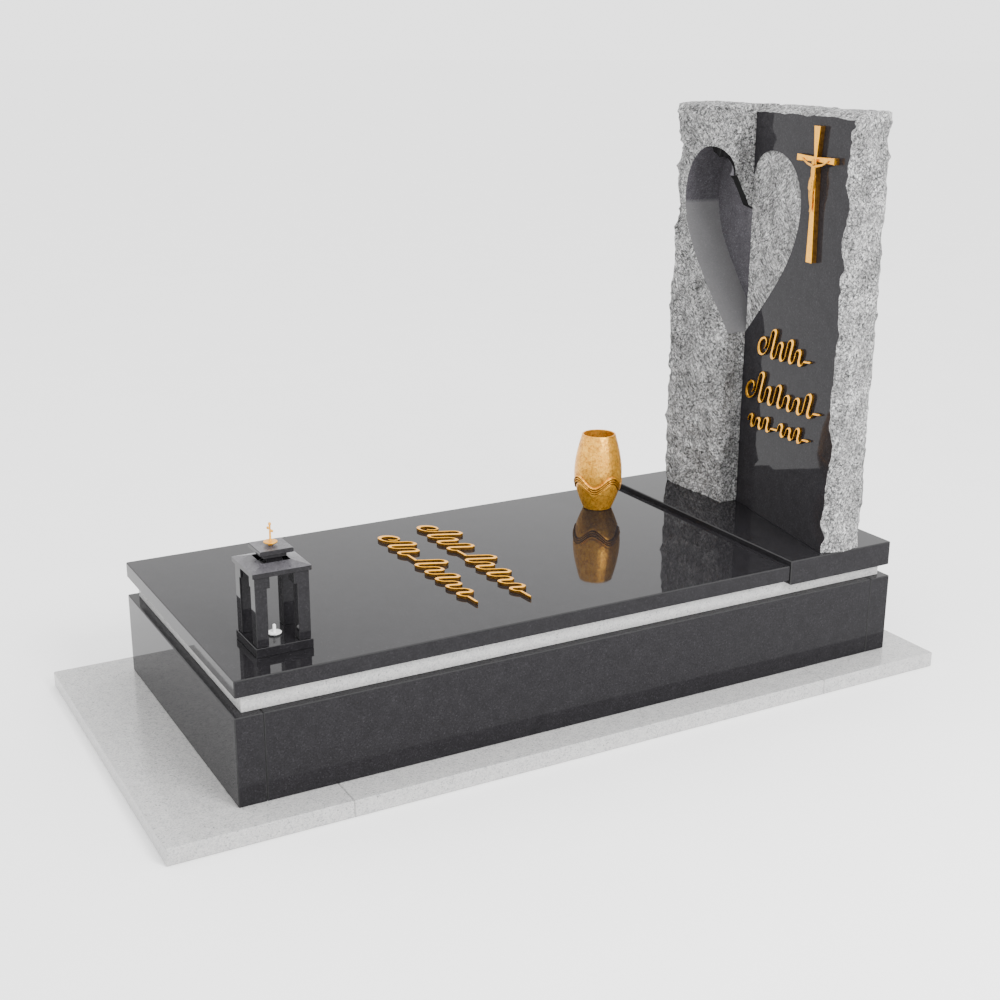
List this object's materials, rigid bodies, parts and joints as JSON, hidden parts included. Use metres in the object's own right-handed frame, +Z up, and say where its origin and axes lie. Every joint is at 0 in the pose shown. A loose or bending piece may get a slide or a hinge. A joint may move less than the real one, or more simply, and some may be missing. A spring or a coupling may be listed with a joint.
{
  "type": "headstone",
  "caption": "Single-grave granite memorial whose rough block and polished panel share one heart, on a ledger and kerb, with a gilt cross, lantern and vase.",
  "frame": {"origin": "centre of the plinth's underside", "axes": "+Z up; +Y from the foot to the headstone, whose face looks along -Y; +X to the right of someone facing it"},
  "size_m": [1.093, 2.31, 1.5933],
  "materials": {
    "polished_granite": "polished",
    "rough_granite": "split rough",
    "pale_granite": "polished",
    "gilt_metal": "satin gilt",
    "golden_bronze": "mottled golden patina",
    "candle_white": "smooth"
  },
  "bodies": {
    "root": {"plinth_foot": "pale_granite", "plinth_head": "pale_granite", "plinth_left": "pale_granite", "plinth_right": "pale_granite", "kerb_foot": "polished_granite", "kerb_head": "polished_granite", "kerb_left": "polished_granite", "kerb_right": "polished_granite", "strip_foot": "pale_granite", "strip_head": "pale_granite", "strip_left": "pale_granite", "strip_right": "pale_granite", "ledger": "polished_granite", "headstone_base": "polished_granite", "headstone_left_block": "rough_granite", "headstone_right_panel": "polished_granite", "cross": "gilt_metal", "corpus": "gilt_metal", "panel_strokes_1": "gilt_metal", "panel_strokes_2": "gilt_metal", "panel_strokes_3": "gilt_metal", "ledger_strokes_1": "gilt_metal", "ledger_strokes_2": "gilt_metal", "lantern_base": "polished_granite", "lantern_post_1": "polished_granite", "lantern_post_2": "polished_granite", "lantern_post_3": "polished_granite", "lantern_post_4": "polished_granite", "lantern_cap": "polished_granite", "lantern_lid": "polished_granite", "lantern_finial": "gilt_metal", "lantern_candle": "candle_white", "vase": "golden_bronze"}
  },
  "joints": []
}
